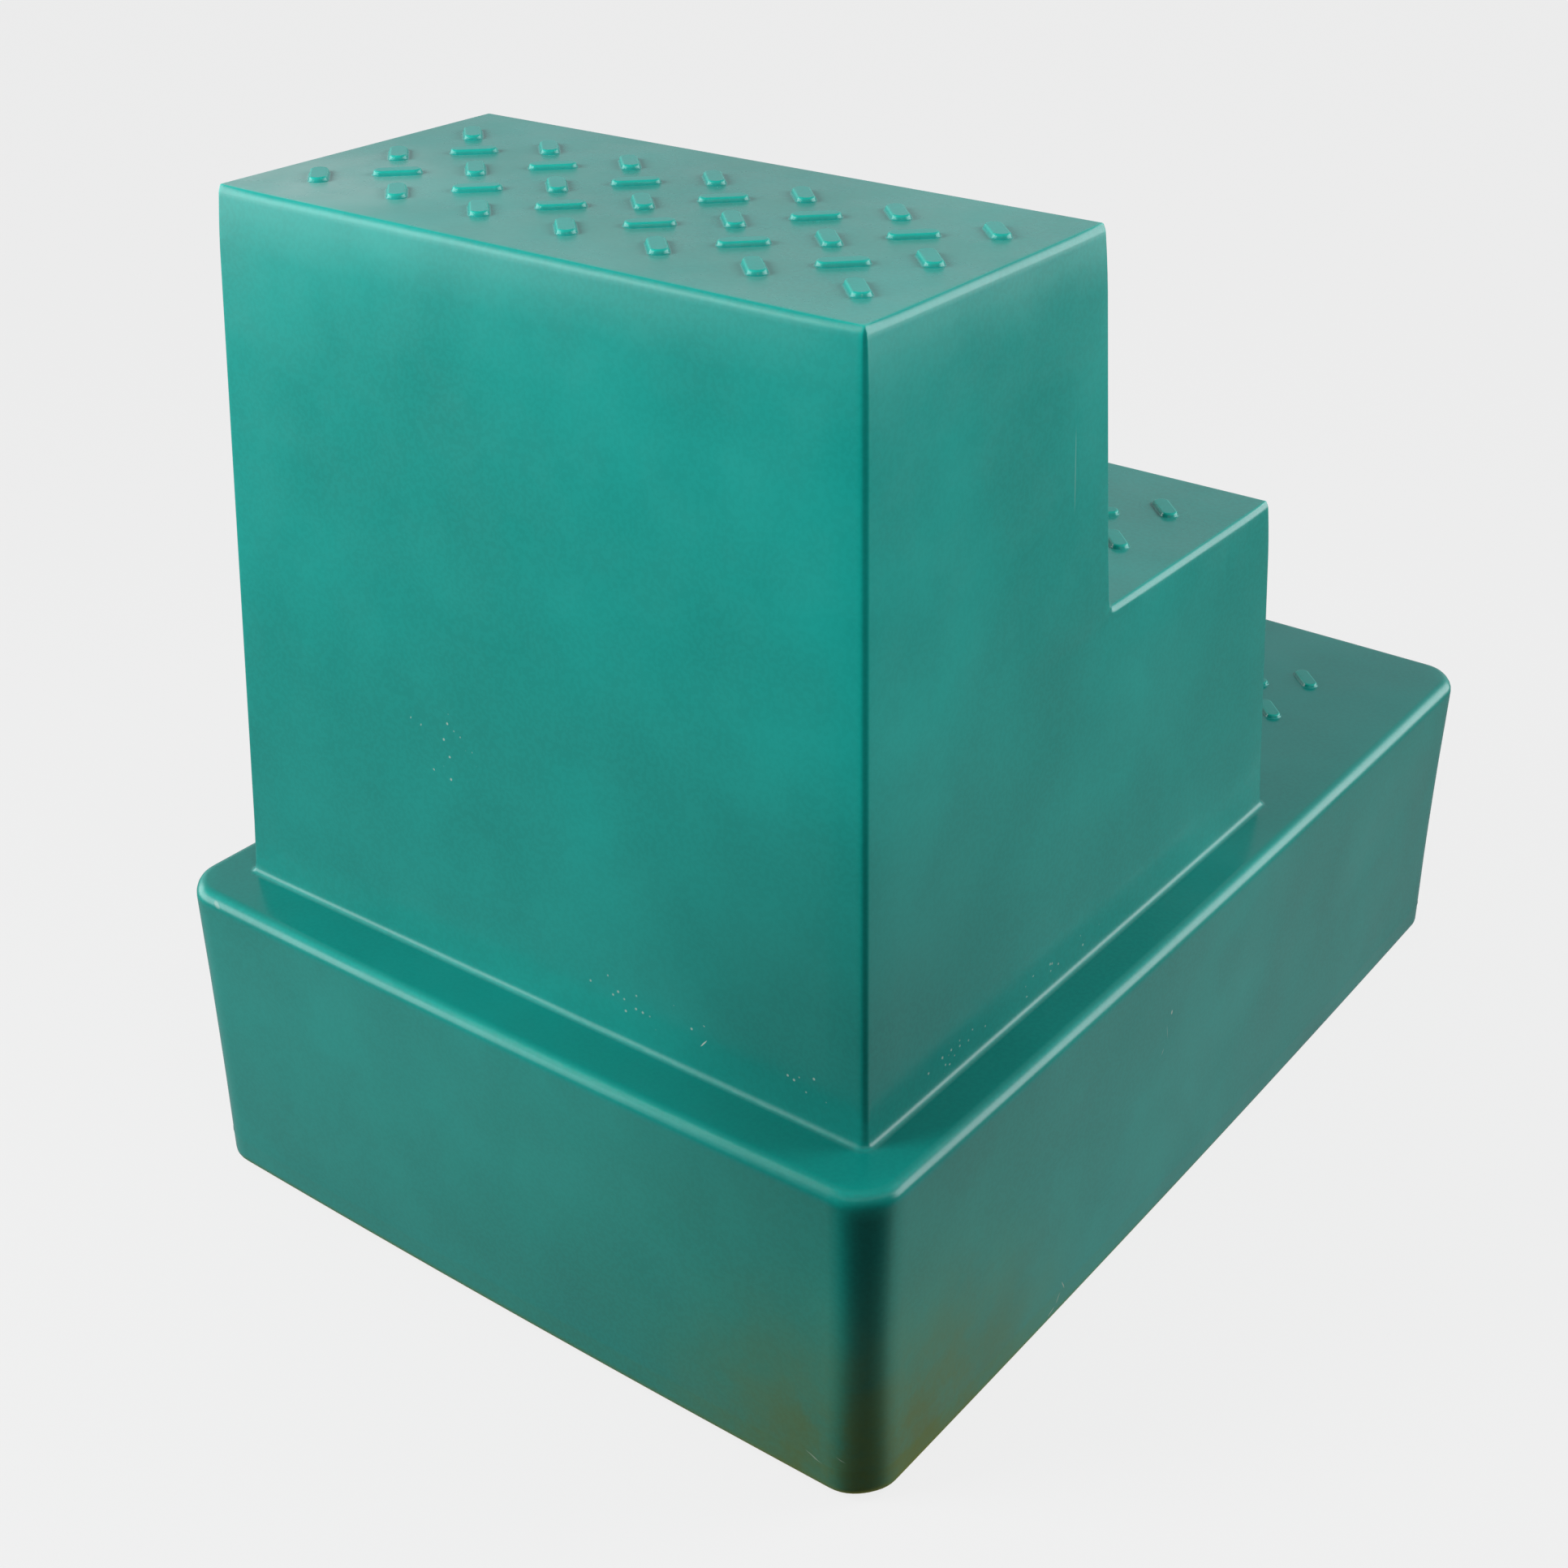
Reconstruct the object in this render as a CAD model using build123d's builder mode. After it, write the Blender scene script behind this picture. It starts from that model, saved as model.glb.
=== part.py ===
from build123d import *
from math import cos, radians, tan
import os

# Three-step mounting block: one closed hollow moulding that a rider climbs
# along +Y, with a screwed filler for ballast, a vent plug and four rubber feet.
# Millimetres. Origin on the ground under the middle of the base, +Z up, +X to
# the right of a rider who faces the tall end.

# Moulding, outside
base_width = 502.0  # side to side
base_length = 712.0  # front edge to back edge
first_rise = 200.0  # ground to the first tread
second_rise = 200.0  # first tread to the second
third_rise = 200.0  # second tread to the top
upper_width = 440.0  # upper block, side to side where it leaves the ledge
first_tread = 252.0  # front edge to the foot of the second riser
second_tread = 184.5  # edge of the second tread to the foot of the third riser
rear_ledge = 36.5  # ledge behind the upper block
draft = 2.75  # degrees, on every wall of the upper block
wall = 6.0

# Moulding, edges
base_corner_radius = 28.0  # upright corners of the base
ledge_edge_radius = 8.0
bottom_edge_radius = 6.0
upper_edge_radius = 7.0  # upright corners and tread edges of the upper block
riser_foot_radius = 4.0
ledge_junction_radius = 3.5

# Raised grip pads on the treads
pad_length = 25.0
pad_width = 10.0
pad_height = 2.6
pad_taper = 20.0  # degrees, lean of a pad's sides
pad_pitch = 55.7
pad_angle = 135.0  # degrees from +X; the bars between the pads stand square to it
pad_rows = 3  # on each tread, or as many as fit
pad_margin = 28.0  # least distance from a pad's centre to a side or an end of a tread
pad_shifts = [10.0, 13.0, 3.0]  # each pattern's middle, behind its tread's middle

# Underside
rim_margin = 6.5  # flat rim beyond a foot's pocket, towards the recess
recess_depth = 8.0
recess_corner_radius = 40.0
recess_taper = 12.0  # degrees

# Rubber feet and their fixings
foot_radius = 25.0
foot_proud = 2.5  # how far a foot stands below the moulding
foot_pocket_depth = 6.0
foot_inset = 58.0  # side of the base to a foot's centre
foot_clearance = 0.5  # radial, in its pocket
foot_hole_clearance = 0.4  # radial, around the screw
foot_counterbore_clearance = 1.5  # radial, around the washer
foot_edge_chamfer = 1.0
foot_groove_width = 2.5
foot_groove_depth = 1.2
washer_radius = 8.5
washer_thickness = 1.2
washer_clearance = 0.3  # radial, around the screw
screw_radius = 2.9
screw_length = 16.0
screw_setback = 1.0  # of the head, above the ground
screw_end_gap = 2.2  # below the closed end of the insert
screw_head_radius = 5.25
screw_head_height = 3.3
screw_head_round = 1.4
screw_socket_width = 4.0  # across flats
screw_socket_depth = 2.0
insert_radius = 6.5
insert_bore_clearance = 0.1  # radial, around the screw
insert_end_wall = 4.0
insert_groove_depth = 1.0
insert_groove_width = 5.0
boss_wall = 5.0  # moulding around an insert

# Filler on the right side of the base near the back, its axis along +X
filler_inset = 126.0  # back edge of the base to the filler's axis
filler_z = 66.0
finger_room = 18.0  # from the rim of the bung to the mouth of its pocket
pocket_taper = 8.0  # degrees
pocket_mouth_round = 3.0
bush_bore_radius = 23.0
bush_wall = 5.0
bush_length = 24.0
bush_flange_width = 6.0  # beyond the bush's wall
bush_flange_thickness = 4.0
bush_rib_height = 3.0
bush_rib_width = 4.0
bush_rib_start = 14.0
collar_wall = 5.0  # moulding around the bush
shank_clearance = 0.3  # radial, bung in bush
shank_length = 22.0  # below the bung's flange
bung_flange_margin = 1.9  # beyond the seal
bung_flange_thickness = 5.0
bung_cup_wall = 4.5
bung_cup_depth = 19.0
notch_count = 12
notch_radius = 3.0
grip_length = 46.0
grip_width = 11.0
grip_height = 8.0
bung_setback = 1.5  # top of the grip bar below the side of the base
bung_edge_chamfer = 0.8
seal_thickness = 2.5
seal_width = 5.0
seal_clearance = 0.4  # radial, around the bung's shank

# Vent plug, in the underside recess
vent_y = -150.0
vent_hole_radius = 6.0
vent_clearance = 0.05  # radial, in the hole
vent_head_width = 4.0  # beyond the hole
vent_head_thickness = 2.5
vent_barb_width = 1.0  # beyond the hole
vent_barb_gap = 0.2  # above the moulding's inner face
vent_tip_radius = 4.0
vent_tip_length = 6.0

# Levels and planes that follow from the sizes
slope = tan(radians(draft))
level_wall = wall / cos(radians(draft))  # wall of the upper block, measured level
shell_bottom = foot_proud
ledge_z = first_rise
second_z = ledge_z + second_rise
top_z = second_z + third_rise
root_z = ledge_z - wall - ledge_edge_radius  # hidden root of the upper block
front_y = -base_length / 2
rear_y = base_length / 2
riser2_foot = front_y + first_tread
riser3_foot = riser2_foot + second_rise * slope + second_tread
rear_foot = rear_y - rear_ledge
cavity_floor = shell_bottom + wall
recess_z = shell_bottom + recess_depth
foot_top = shell_bottom + foot_pocket_depth
foot_counterbore_radius = washer_radius + foot_counterbore_clearance
foot_groove_radius = (foot_counterbore_radius + foot_radius) / 2
foot_x = base_width / 2 - foot_inset
foot_y = base_length / 2 - foot_inset
foot_places = {
    "foot_front_left": (-foot_x, -foot_y),
    "foot_front_right": (foot_x, -foot_y),
    "foot_rear_left": (-foot_x, foot_y),
    "foot_rear_right": (foot_x, foot_y),
}
foot_points = list(foot_places.values())
head_top = screw_setback + screw_head_height
washer_top = head_top + washer_thickness
insert_bore = head_top + screw_length + screw_end_gap - foot_top
insert_length = insert_bore + insert_end_wall
rim_width = foot_inset + foot_radius + foot_clearance + rim_margin
filler_y = rear_y - filler_inset
bush_radius = bush_bore_radius + bush_wall
bush_flange_radius = bush_radius + bush_flange_width
collar_radius = max(bush_flange_radius, bush_radius + bush_rib_height) + collar_wall
shank_radius = bush_bore_radius - shank_clearance
seal_bore_radius = shank_radius + seal_clearance
seal_radius = seal_bore_radius + seal_width
bung_flange_radius = seal_radius + bung_flange_margin
pocket_mouth_radius = bung_flange_radius + finger_room
pocket_depth = seal_thickness + bung_flange_thickness + grip_height + bung_setback
pocket_floor = Plane(
    (base_width / 2 - pocket_depth, filler_y, filler_z), x_dir=(0, 1, 0), z_dir=(1, 0, 0)
)
pocket_mouth = pocket_floor.offset(pocket_depth)
bung_seat = pocket_floor.offset(seal_thickness)
upward = (Align.CENTER, Align.CENTER, Align.MIN)
downward = (Align.CENTER, Align.CENTER, Align.MAX)


# Drafted walls of the upper block at a given height
def riser2(z):
    return riser2_foot + (z - ledge_z) * slope


def riser3(z):
    return riser3_foot + (z - second_z) * slope


def rear(z):
    return rear_foot - (z - ledge_z) * slope


def half_width(z):
    return upper_width / 2 - (z - ledge_z) * slope


# Side view of the upper block; drop and inset pull it in by a wall
def side_outline(drop, inset):
    second = second_z - drop
    top = top_z - drop
    return [
        (riser2(root_z) + inset, root_z),
        (riser2(second) + inset, second),
        (riser3(second) + inset, second),
        (riser3(top) + inset, top),
        (rear(top) - inset, top),
        (rear(root_z) - inset, root_z),
    ]


# End view of the upper block
def end_outline(inset):
    root = half_width(root_z) - inset
    top = half_width(top_z) - inset
    return [(-root, root_z), (root, root_z), (top, top_z), (-top, top_z)]


def at_height(points, z):
    return [(x, y, z) for x, y in points]


os.makedirs("parts", exist_ok=True)

# Outside of the upper block
with BuildPart() as upper_form:
    with BuildSketch(Plane.YZ):
        Polygon(*side_outline(0, 0), align=None)
    extrude(amount=base_width / 2, both=True)
    with BuildSketch(Plane.XZ):
        Polygon(*end_outline(0), align=None)
    extrude(amount=base_length, both=True, mode=Mode.INTERSECT)
    across = upper_form.edges().filter_by(Axis.X)
    inner_corner = across.filter_by_position(Axis.Z, second_z - 1, second_z + 1).sort_by(Axis.Y)[-1]
    fillet(inner_corner, riser_foot_radius)
    across = upper_form.edges().filter_by(Axis.X)
    blend_lines = across.filter_by_position(
        Axis.Y, riser3_foot - riser_foot_radius - 1, riser3_foot + 1
    ).filter_by_position(Axis.Z, second_z - 1, second_z + riser_foot_radius + 1)
    root_lines = upper_form.edges().group_by(Axis.Z)[0]
    plain_lines = blend_lines + root_lines
    fillet([edge for edge in upper_form.edges() if edge not in plain_lines], upper_edge_radius)

# Inside of the upper block
with BuildPart() as upper_cavity:
    with BuildSketch(Plane.YZ):
        Polygon(*side_outline(wall, level_wall), align=None)
    extrude(amount=base_width / 2, both=True)
    with BuildSketch(Plane.XZ):
        Polygon(*end_outline(level_wall), align=None)
    extrude(amount=base_length, both=True, mode=Mode.INTERSECT)

# Grip pads of all three treads
treads = [
    (ledge_z, front_y, riser2_foot),
    (second_z, riser2(second_z), riser3_foot),
    (top_z, riser3(top_z), rear(top_z)),
]
columns = 2 * int((half_width(top_z) - pad_margin) / pad_pitch) + 1
with BuildPart() as grip_pads:
    for (tread_z, tread_front, tread_rear), shift in zip(treads, pad_shifts):
        pad_room = tread_rear - tread_front - 2 * pad_margin
        rows = min(pad_rows, int(pad_room / pad_pitch) + 1)
        with BuildSketch(Plane.XY.offset(tread_z)):
            with Locations((0, (tread_front + tread_rear) / 2 + shift)):
                with GridLocations(pad_pitch, pad_pitch, columns, rows):
                    SlotOverall(pad_length, pad_width, rotation=pad_angle)
                if rows > 1:
                    with GridLocations(pad_pitch, pad_pitch, columns - 1, rows - 1):
                        SlotOverall(pad_length, pad_width, rotation=pad_angle - 90)
        extrude(amount=pad_height, taper=pad_taper)

# Brass inserts without their threads, as the moulding grips them
with BuildPart() as insert_form:
    with Locations(*at_height(foot_points, foot_top)):
        Cylinder(insert_radius, insert_length, align=upward)
    groove_z = foot_top + (insert_length - insert_groove_width) / 2
    with BuildSketch(Plane.XY.offset(groove_z)):
        with Locations(*foot_points):
            Circle(insert_radius)
            Circle(insert_radius - insert_groove_depth, mode=Mode.SUBTRACT)
    extrude(amount=insert_groove_width, mode=Mode.SUBTRACT)

# Filler bush without its bore, as the moulding grips it
with BuildPart() as bush_form:
    with BuildSketch(pocket_floor):
        Circle(bush_radius)
    extrude(amount=-bush_length)
    with BuildSketch(pocket_floor):
        Circle(bush_flange_radius)
    extrude(amount=-bush_flange_thickness)
    with BuildSketch(pocket_floor.offset(-bush_rib_start)):
        Circle(bush_radius + bush_rib_height)
    extrude(amount=-bush_rib_width)

# Hollow inside the moulding, stepped around the recesses, bosses and collar
recess_width = base_width - 2 * rim_width
recess_length = base_length - 2 * rim_width
with BuildPart() as cavity:
    with BuildSketch(Plane.XY.offset(cavity_floor)):
        RectangleRounded(base_width - 2 * wall, base_length - 2 * wall, base_corner_radius - wall)
    extrude(amount=ledge_z - wall - cavity_floor)
    add(upper_cavity.part)
    with BuildSketch(Plane.XY.offset(cavity_floor)):
        RectangleRounded(recess_width + 2 * wall, recess_length + 2 * wall, recess_corner_radius + wall)
    extrude(amount=recess_depth, mode=Mode.SUBTRACT)
    with BuildSketch(Plane.XY.offset(cavity_floor)):
        with Locations(*foot_points):
            Circle(foot_radius + foot_clearance + wall)
    extrude(amount=foot_pocket_depth, mode=Mode.SUBTRACT)
    with BuildSketch(Plane.XY.offset(foot_top)):
        with Locations(*foot_points):
            Circle(insert_radius + boss_wall)
    extrude(amount=insert_length + boss_wall, mode=Mode.SUBTRACT)
    with BuildSketch(pocket_floor.offset(-wall)):
        Circle(pocket_mouth_radius + wall)
    extrude(amount=pocket_depth + wall, mode=Mode.SUBTRACT)
    with BuildSketch(pocket_floor):
        Circle(collar_radius)
    extrude(amount=-bush_length, mode=Mode.SUBTRACT)

# The moulding
with BuildPart() as body_shell:
    with BuildSketch(Plane.XY.offset(shell_bottom)):
        RectangleRounded(base_width, base_length, base_corner_radius)
    extrude(amount=ledge_z - shell_bottom)
    fillet(body_shell.edges().group_by(Axis.Z)[-1], ledge_edge_radius)
    fillet(body_shell.edges().group_by(Axis.Z)[0], bottom_edge_radius)
    add(upper_form.part)
    ledge_lines = body_shell.edges().filter_by_position(Axis.Z, ledge_z - 0.01, ledge_z + 0.01)
    junction = ledge_lines.filter_by_position(
        Axis.X, -upper_width / 2 - 1, upper_width / 2 + 1
    ).filter_by_position(Axis.Y, riser2_foot - 1, rear_foot + 1)
    fillet(junction, ledge_junction_radius)
    add(grip_pads.part)
    add(cavity.part, mode=Mode.SUBTRACT)
    with BuildSketch(Plane.XY.offset(shell_bottom)):
        RectangleRounded(recess_width, recess_length, recess_corner_radius)
    extrude(amount=recess_depth, taper=recess_taper, mode=Mode.SUBTRACT)
    with BuildSketch(Plane.XY.offset(shell_bottom)):
        with Locations(*foot_points):
            Circle(foot_radius + foot_clearance)
    extrude(amount=foot_pocket_depth, mode=Mode.SUBTRACT)
    with BuildSketch(pocket_mouth):
        Circle(pocket_mouth_radius)
    extrude(amount=-pocket_depth, taper=pocket_taper, mode=Mode.SUBTRACT)
    mouth_edge = body_shell.edges().filter_by(GeomType.CIRCLE).filter_by_position(
        Axis.X, base_width / 2 - 0.01, base_width / 2 + 0.01
    )
    fillet(mouth_edge, pocket_mouth_round)
    add(insert_form.part, mode=Mode.SUBTRACT)
    add(bush_form.part, mode=Mode.SUBTRACT)
    with Locations((0, vent_y, recess_z)):
        Cylinder(vent_hole_radius, wall, align=upward, mode=Mode.SUBTRACT)

# Rubber feet, each with a counterbored screw hole and a ring groove underneath
foot_blocks = {}
for name, (x, y) in foot_places.items():
    with BuildPart() as foot:
        with Locations((x, y, 0)):
            Cylinder(foot_radius, foot_top, align=upward)
            chamfer(foot.edges().group_by(Axis.Z)[0], foot_edge_chamfer)
            Cylinder(screw_radius + foot_hole_clearance, foot_top, align=upward, mode=Mode.SUBTRACT)
            Cylinder(foot_counterbore_radius, washer_top, align=upward, mode=Mode.SUBTRACT)
        with BuildSketch(Plane.XY):
            with Locations((x, y)):
                Circle(foot_groove_radius + foot_groove_width / 2)
                Circle(foot_groove_radius - foot_groove_width / 2, mode=Mode.SUBTRACT)
        extrude(amount=foot_groove_depth, mode=Mode.SUBTRACT)
    foot_blocks[name] = foot

# Washers and screws, one of each in every foot
with BuildPart() as foot_washers:
    with BuildSketch(Plane.XY.offset(head_top)):
        with Locations(*foot_points):
            Circle(washer_radius)
            Circle(screw_radius + washer_clearance, mode=Mode.SUBTRACT)
    extrude(amount=washer_thickness)

with BuildPart() as foot_screws:
    with Locations(*at_height(foot_points, head_top)):
        Cylinder(screw_head_radius, screw_head_height, align=downward)
    fillet(foot_screws.edges().group_by(Axis.Z)[0], screw_head_round)
    with Locations(*at_height(foot_points, head_top)):
        Cylinder(screw_radius, screw_length, align=upward)
    with BuildSketch(Plane.XY.offset(screw_setback)):
        with Locations(*foot_points):
            RegularPolygon(screw_socket_width / 2, 6, major_radius=False)
    extrude(amount=screw_socket_depth, mode=Mode.SUBTRACT)

with BuildPart() as foot_inserts:
    add(insert_form.part)
    with Locations(*at_height(foot_points, foot_top)):
        Cylinder(screw_radius + insert_bore_clearance, insert_bore, align=upward, mode=Mode.SUBTRACT)

# Filler: bush in the moulding, flat seal, bung with a notched rim and a grip bar
with BuildPart() as filler_bush:
    add(bush_form.part)
    with BuildSketch(pocket_floor):
        Circle(bush_bore_radius)
    extrude(amount=-bush_length, mode=Mode.SUBTRACT)

with BuildPart() as bung_seal:
    with BuildSketch(pocket_floor):
        Circle(seal_radius)
        Circle(seal_bore_radius, mode=Mode.SUBTRACT)
    extrude(amount=seal_thickness)

with BuildPart() as filler_bung:
    with BuildSketch(bung_seat):
        Circle(bung_flange_radius)
        with PolarLocations(bung_flange_radius + notch_radius / 2, notch_count):
            Circle(notch_radius, mode=Mode.SUBTRACT)
    extrude(amount=bung_flange_thickness)
    with BuildSketch(bung_seat.offset(bung_flange_thickness)):
        SlotOverall(grip_length, grip_width)
    extrude(amount=grip_height)
    chamfer(filler_bung.edges().group_by(Axis.X)[-1], bung_edge_chamfer)
    with BuildSketch(bung_seat):
        Circle(shank_radius)
    extrude(amount=-shank_length)
    chamfer(filler_bung.edges().group_by(Axis.X)[0], bung_edge_chamfer)
    with BuildSketch(bung_seat.offset(-shank_length)):
        Circle(shank_radius - bung_cup_wall)
    extrude(amount=bung_cup_depth, mode=Mode.SUBTRACT)

# Vent plug: head under the recess, shank through the wall, barb above it
barb_z = recess_z + wall + vent_barb_gap
with BuildPart() as vent_plug:
    with Locations((0, vent_y, recess_z)):
        Cylinder(vent_hole_radius + vent_head_width, vent_head_thickness, align=downward)
    chamfer(vent_plug.edges().group_by(Axis.Z)[0], vent_head_thickness / 3)
    with Locations((0, vent_y, recess_z)):
        Cylinder(vent_hole_radius - vent_clearance, barb_z - recess_z, align=upward)
    with Locations((0, vent_y, barb_z)):
        Cone(vent_hole_radius + vent_barb_width, vent_tip_radius, vent_tip_length, align=upward)

pieces = {
    "body_shell": body_shell,
    "filler_bush": filler_bush,
    "bung_seal": bung_seal,
    "filler_bung": filler_bung,
    "vent_plug": vent_plug,
    "foot_inserts": foot_inserts,
    "foot_screws": foot_screws,
    "foot_washers": foot_washers,
}
pieces.update(foot_blocks)
for name, piece in pieces.items():
    piece.part.label = name
    export_step(piece.part, f"parts/{name}.step")
    print(name, round(piece.part.volume / 1000, 1), "cm3", len(piece.part.solids()), "solid(s)")
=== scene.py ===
import math
import bpy
import bmesh
from mathutils import Matrix, Vector


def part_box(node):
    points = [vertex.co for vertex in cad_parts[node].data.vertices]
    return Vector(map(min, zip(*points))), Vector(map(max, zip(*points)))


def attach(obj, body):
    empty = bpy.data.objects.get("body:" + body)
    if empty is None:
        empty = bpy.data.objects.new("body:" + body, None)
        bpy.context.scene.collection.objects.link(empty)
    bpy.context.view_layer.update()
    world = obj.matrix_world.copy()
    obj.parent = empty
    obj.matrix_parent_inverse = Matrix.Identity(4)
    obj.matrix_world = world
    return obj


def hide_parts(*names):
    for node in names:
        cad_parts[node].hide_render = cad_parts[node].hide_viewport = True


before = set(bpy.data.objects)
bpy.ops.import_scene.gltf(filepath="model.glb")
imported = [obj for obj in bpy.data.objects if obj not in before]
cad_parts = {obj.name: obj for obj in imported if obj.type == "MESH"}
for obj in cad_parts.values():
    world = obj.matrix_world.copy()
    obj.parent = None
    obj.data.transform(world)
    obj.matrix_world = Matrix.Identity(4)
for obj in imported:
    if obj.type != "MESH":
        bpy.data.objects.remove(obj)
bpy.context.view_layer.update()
mm = 0.001
tiny = 0.01 * mm
print("frame loaded")

# Sizes of the moulded block. Lengths are metres.
shellLow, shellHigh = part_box("body_shell")
block = {
    "padHeight": 2.6 * mm,
    "upperWidth": 440 * mm,  # where the upper block leaves the ledge
    "firstTread": 252 * mm,
    "secondTread": 184.5 * mm,
    "rearLedge": 36.5 * mm,
    "draft": math.radians(2.75),
    "wall": 6 * mm,
    "baseCorner": 28 * mm,
    "ledgeEdge": 8 * mm,
    "bottomEdge": 6 * mm,
    "upperEdge": 4 * mm,
    "riserFoot": 4 * mm,
    "junction": 3.5 * mm,
    "slice": 27 * mm,  # spacing of the cuts that let the flat walls bow
    "cornerPull": 2.6 * mm,  # the base is this much shorter at its corners than at mid-length
    "crown": 1.3 * mm,  # walls roll in by this much just under a tread's edge
    "crownReach": 38 * mm,
    "sideCrown": 0.7,  # the same towards an upright edge, as a share of it
    "hollow": 1.1 * mm,  # walls sink by this much in the middle, as the moulding shrinks
    "hollowReach": 110 * mm,
    "baseHollowReach": 80 * mm,
    "footFade": 12 * mm,  # height over which a wall leaves its fixed foot
    "pullFrom": [224 * mm, 324 * mm],  # half width and half length at which the pull at the corners starts
    "pullOver": [24 * mm, 28 * mm],
    "edgeCuts": [12 * mm, 17 * mm, 24 * mm],  # extra cuts beside each edge, for the crown
}
slope = math.tan(block["draft"])
topZ = shellHigh.z - block["padHeight"]
ledgeZ = topZ / 3
secondZ = 2 * ledgeZ
bottomZ = shellLow.z
frontY = shellLow.y
rearY = shellHigh.y
sideX = shellHigh.x
riser2Foot = frontY + block["firstTread"]
riser3Foot = riser2Foot + ledgeZ * slope + block["secondTread"]
rearFoot = rearY - block["rearLedge"]


def halfAt(z):
    return block["upperWidth"] / 2 - (z - ledgeZ) * slope


def riser2At(z):
    return riser2Foot + (z - ledgeZ) * slope


def riser3At(z):
    return riser3Foot + (z - secondZ) * slope


def rearAt(z):
    return rearFoot - (z - ledgeZ) * slope


def smooth(value):
    value = min(max(value, 0), 1)
    return value * value * (3 - 2 * value)


def linear(hexColour):
    parts = [int(hexColour[i:i + 2], 16) / 255 for i in (1, 3, 5)]
    parts = [c / 12.92 if c <= 0.04045 else ((c + 0.055) / 1.055) ** 2.4 for c in parts]
    return (*parts, 1)


def makePiece(name, bm, body, material, replaced=()):
    mesh = bpy.data.meshes.new(name)
    for face in bm.faces:
        face.smooth = True
    bm.to_mesh(mesh)
    bm.free()
    mesh.set_sharp_from_angle(angle=math.radians(32))
    piece = bpy.data.objects.new(name, mesh)
    bpy.context.scene.collection.objects.link(piece)
    mesh.materials.append(material)
    even = piece.modifiers.new("even", "WEIGHTED_NORMAL")
    even.weight = 50
    even.keep_sharp = True
    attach(piece, body)
    if replaced:
        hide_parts(*replaced)
    return piece


def bevelEdges(bm, edges, radius, segments):
    bmesh.ops.bevel(bm, geom=edges, offset=radius, offset_type="OFFSET", segments=segments,
                    profile=0.5, affect="EDGES", clamp_overlap=False, material=-1)
    bm.normal_update()


def levelEdges(bm, z, convex):
    level = [e for e in bm.edges if all(abs(v.co.z - z) < tiny for v in e.verts)]
    return [e for e in level if e.calc_face_angle(0) > 0.5 and e.is_convex == convex]


def uprightEdges(bm, x, y):
    atCorner = {v for v in bm.verts if abs(abs(v.co.x) - x) < tiny and abs(abs(v.co.y) - y) < tiny}
    between = [e for e in bm.edges if set(e.verts) <= atCorner]
    return [e for e in between if (e.verts[0].co - e.verts[1].co).xy.length < tiny]


def setFace(face, z, inset, front):
    for v in face.verts:
        v.co.x = math.copysign(halfAt(z) - inset, v.co.x)
        v.co.y = front + inset if v.co.y < (front + rearAt(z)) / 2 else rearAt(z) - inset
        v.co.z = z


# The stepped form with sharp edges; inset pulls every wall and tread in by a wall
def steppedForm(inset, floorZ):
    bm = bmesh.new()
    ledge, second, top = (z - inset for z in (ledgeZ, secondZ, topZ))
    size = Vector((2 * (sideX - inset), 2 * (rearY - inset), ledge - floorZ))
    centre = Vector((0, 0, (ledge + floorZ) / 2))
    bmesh.ops.create_cube(bm, size=1, matrix=Matrix.LocRotScale(centre, None, size))
    roof = max(bm.faces, key=lambda f: f.calc_center_median().z)
    bmesh.ops.inset_individual(bm, faces=[roof], thickness=20 * mm)
    setFace(roof, ledge, inset, riser2At(ledge))
    roof = bmesh.ops.extrude_discrete_faces(bm, faces=[roof])["faces"][0]
    setFace(roof, second, inset, riser2At(second))
    upper = [f for f in bm.faces if f.calc_center_median().z > ledge + tiny]
    parts = set(upper) | {e for f in upper for e in f.edges} | {v for f in upper for v in f.verts}
    footLine = riser3Foot + inset
    bmesh.ops.bisect_plane(bm, geom=list(parts), dist=tiny, plane_co=(0, footLine, 0), plane_no=(0, 1, 0))
    roofs = [f for f in bm.faces if abs(f.calc_center_median().z - second) < tiny]
    roof = max(roofs, key=lambda f: f.calc_center_median().y)
    roof = bmesh.ops.extrude_discrete_faces(bm, faces=[roof])["faces"][0]
    setFace(roof, top, inset, riser3At(top))
    bm.normal_update()
    flat = [e for e in bm.edges if max(v.co.z for v in e.verts) > ledge + tiny]
    flat = [e for e in flat if e.is_manifold and e.calc_face_angle() < 0.01]
    bmesh.ops.dissolve_edges(bm, edges=flat, use_verts=True)
    return bm


# Leaves the ledge in two halves, so that no edge runs into its rounded corners
def clearCorners(bm):
    ledge = [f for f in bm.faces if all(abs(v.co.z - ledgeZ) < tiny for v in f.verts)]
    parts = set(ledge) | {e for f in ledge for e in f.edges} | {v for f in ledge for v in f.verts}
    bmesh.ops.bisect_plane(bm, geom=list(parts), dist=tiny, plane_co=(0, 0, 0), plane_no=(1, 0, 0))
    bm.normal_update()
    spare = [e for e in bm.edges if all(abs(v.co.z - ledgeZ) < tiny for v in e.verts)]
    spare = [e for e in spare if e.calc_face_angle() < 0.01 and max(abs(v.co.x) for v in e.verts) > mm]
    bmesh.ops.dissolve_edges(bm, edges=spare, use_verts=False)


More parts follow.
